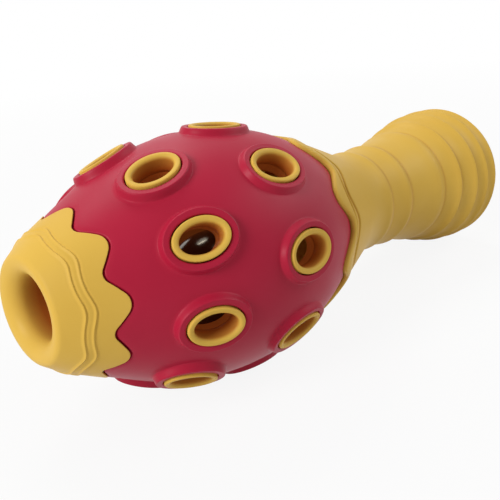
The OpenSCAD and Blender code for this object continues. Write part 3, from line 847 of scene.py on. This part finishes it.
def half_ball(side):
    """Section of one half: outer arc, the lap's groove or tongue, and the inner arc to the pole."""
    lap_r, inner = BALL_R - BALL_WALL / 2, BALL_R - BALL_WALL
    outer_arc, inner_arc = arc(BALL_R, OUTER_END, 33), arc(inner, INNER_END, 25)[::-1]
    if side > 0:
        groove, reach = lap_r + LAP_GAP, LAP + LAP_ROOM
        step = [(JOIN_Z, groove), (reach, groove), (reach, np.sqrt(inner**2 - reach**2))]
        return outer_arc + step + [(z, r) for z, r in inner_arc if z > reach + 0.05]
    tongue = lap_r - LAP_GAP
    step = [(-LAP_ROOM, tongue), (LAP, tongue), (LAP, np.sqrt(inner**2 - LAP**2)), (0.0, inner)]
    return [(-z, r) for z, r in outer_arc] + step + [(-z, r) for z, r in inner_arc]


for label, side in (("front", -1), ("rear", 1)):
    add_piece(f"ball_{label}_shell", [(turned(half_ball(side), BALL_MIDDLE), False, True)], "ball",
              [f"ball_{label}_half"], dark_plastic)

pellet_box = np.array(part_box("rattle_pellet"))
pellet_middle = pellet_box.mean(axis=0)
pellet_r = float((pellet_box[1] - pellet_box[0]).max()) / 2 / MM
pellet = turned(arc(pellet_r, np.pi, 25), pellet_middle, 48)
add_piece("pellet_bead", [(pellet, False, True)], "pellet",
          ["rattle_pellet"], bright_steel)

# %% [markdown]
# ## The liner
# The liner is the wall behind the holes. Only bits of it show, and its imported shape
# is already right, so the node stays and only gets its rubber: a darker amber, painted shade
# of the dim hollow, with a weak glow, painted light for light that soaks through the walls.

# %% The liner's finish
liner = frame["nodes"]["inner_liner"]
liner.data.materials.clear()
liner.data.materials.append(liner_painted_shade_glow)
print("liner keeps", len(liner.data.polygons), "faces")

# %% [markdown]
# ## Floor, light and camera
# The toy lies on a white sweep. The floor shows the camera a nearly white surface that
# still takes the soft shadow. One large soft lamp above and to the left is the main light, one
# above and behind gives the sheen along the top, a weak one fills from the right, and the
# world adds even light.

# %% The floor
WHITE = (1.0, 1.0, 1.0, 1.0)
FLOOR_HALF, FLOOR_NEAR, FLOOR_FAR = 6.0, 0.2, 0.7     # metres
FLOOR_EVEN = 0.9                             # share of even white near the toy


def seen_rays(tree):
    """1 for rays from the camera, straight or by way of gloss or glass, and 0 for all others."""
    path = node(tree, "ShaderNodeLightPath")
    shown = node(tree, "ShaderNodeMath", {"operation": "MAXIMUM"}, {
        0: path.outputs["Is Camera Ray"], 1: path.outputs["Is Glossy Ray"]})
    seen = node(tree, "ShaderNodeMath", {"operation": "MAXIMUM"}, {
        0: shown.outputs["Value"], 1: path.outputs["Is Transmission Ray"]})
    return seen.outputs["Value"]


def white_floor(name):
    """Matt white to the lamps; to the camera mostly even white near the toy, and all even far off."""
    made, tree, out = new_material(name)
    where = node(tree, "ShaderNodeTexCoord").outputs["Object"]
    away = node(tree, "ShaderNodeVectorMath", {"operation": "LENGTH"}, {0: where})
    near = node(tree, "ShaderNodeMapRange", inputs={
        "Value": away.outputs["Value"], "From Min": FLOOR_NEAR, "From Max": FLOOR_FAR,
        "To Min": FLOOR_EVEN, "To Max": 1.0})
    paper = node(tree, "ShaderNodeBsdfDiffuse", inputs={"Color": linear("#dcdcdc")})
    even = node(tree, "ShaderNodeEmission", inputs={"Color": WHITE, "Strength": 1.0})
    share = node(tree, "ShaderNodeMath", {"operation": "MULTIPLY"}, {
        0: seen_rays(tree), 1: near.outputs["Result"]})
    mix = node(tree, "ShaderNodeMixShader", inputs={
        0: share.outputs["Value"], 1: paper.outputs["BSDF"], 2: even.outputs["Emission"]})
    tree.links.new(mix.outputs["Shader"], out.inputs["Surface"])
    return made


corners = [(x * FLOOR_HALF, y * FLOOR_HALF, 0.0) for x, y in ((-1, -1), (1, -1), (1, 1), (-1, 1))]
floor_mesh = bpy.data.meshes.new("floor")
floor_mesh.from_pydata(corners, [], [(0, 1, 2, 3)])
floor_mesh.materials.append(white_floor("white_paper_floor"))
floor = bpy.data.objects.new("floor", floor_mesh)
bpy.context.collection.objects.link(floor)
print("floor", 2 * FLOOR_HALF, "m square")

# %% The camera
FOCAL_PX, IMAGE_PX, SENSOR_MM = 668.083, 500.0, 36.0
AXIS_IN_VIEW = np.array([0.69502863, -0.25147476, 0.67356934])       # right, down, forward
TOP_IN_VIEW = np.array([-0.02689, -0.94527, -0.32517])
NOSE_IN_VIEW = np.array([-55.0676, 15.3386, 161.6404])               # millimetres


def stand(thing, axes, spot):
    """Puts a camera or lamp at a spot in metres, with its own directions as the columns of axes."""
    upper = np.column_stack([axes, spot])
    thing.matrix_world = Matrix(np.vstack([upper, [0.0, 0.0, 0.0, 1.0]]).tolist())
    bpy.context.collection.objects.link(thing)


top = TOP_IN_VIEW - AXIS_IN_VIEW * (TOP_IN_VIEW @ AXIS_IN_VIEW)
top /= np.linalg.norm(top)
side = np.cross(top, AXIS_IN_VIEW)
view_to_row = np.outer(ALONG, AXIS_IN_VIEW) + np.outer(SIDE, side) + np.outer(UP, top)
right, down, forward = view_to_row.T
eye = NOSE - MM * (view_to_row @ NOSE_IN_VIEW)

lens = bpy.data.cameras.new("photo_view")
lens.sensor_width = SENSOR_MM
lens.lens = FOCAL_PX / IMAGE_PX * SENSOR_MM
camera = bpy.data.objects.new("photo_view", lens)
stand(camera, np.stack([right, -down, -forward], axis=1), eye)
bpy.context.scene.camera = camera
print("camera at", np.round(eye, 3), "lens", round(lens.lens, 1), "mm")

# %% The light
MIDDLE = np.array([0.0, 0.0, 0.035])         # what the lamps face
SKY = 0.31                                   # strength of the even light


def soft_lamp(name, spot, size, power):
    """A square soft lamp at a spot in metres, turned to face the middle of the toy."""
    data = bpy.data.lights.new(name, "AREA")
    data.shape, data.size, data.energy = "SQUARE", size, power
    to_middle = MIDDLE - np.array(spot)
    back = -to_middle / np.linalg.norm(to_middle)
    across = np.cross((0.0, 0.0, 1.0), back)
    across /= np.linalg.norm(across)
    axes = np.stack([across, np.cross(back, across), back], axis=1)
    stand(bpy.data.objects.new(name, data), axes, spot)


soft_lamp("key_above_left", (-0.85, -0.03, 0.53), size=0.36, power=6.2)
soft_lamp("back_above", (0.15, 0.45, 0.8), size=0.4, power=2.8)
soft_lamp("fill_right", (0.95, -0.5, 0.7), size=0.6, power=4.0)

world = bpy.data.worlds.new("even_light")
bpy.context.scene.world = world
world.use_nodes = True
tree = world.node_tree
tree.nodes.clear()
strength = node(tree, "ShaderNodeMapRange", inputs={
    "Value": seen_rays(tree), "To Min": SKY, "To Max": 1.0})
sky = node(tree, "ShaderNodeBackground", inputs={
    "Color": WHITE, "Strength": strength.outputs["Result"]})
node(tree, "ShaderNodeOutputWorld", inputs={"Surface": sky.outputs["Background"]})

bpy.context.scene.view_settings.view_transform = "Standard"
print("three lamps and an even sky")
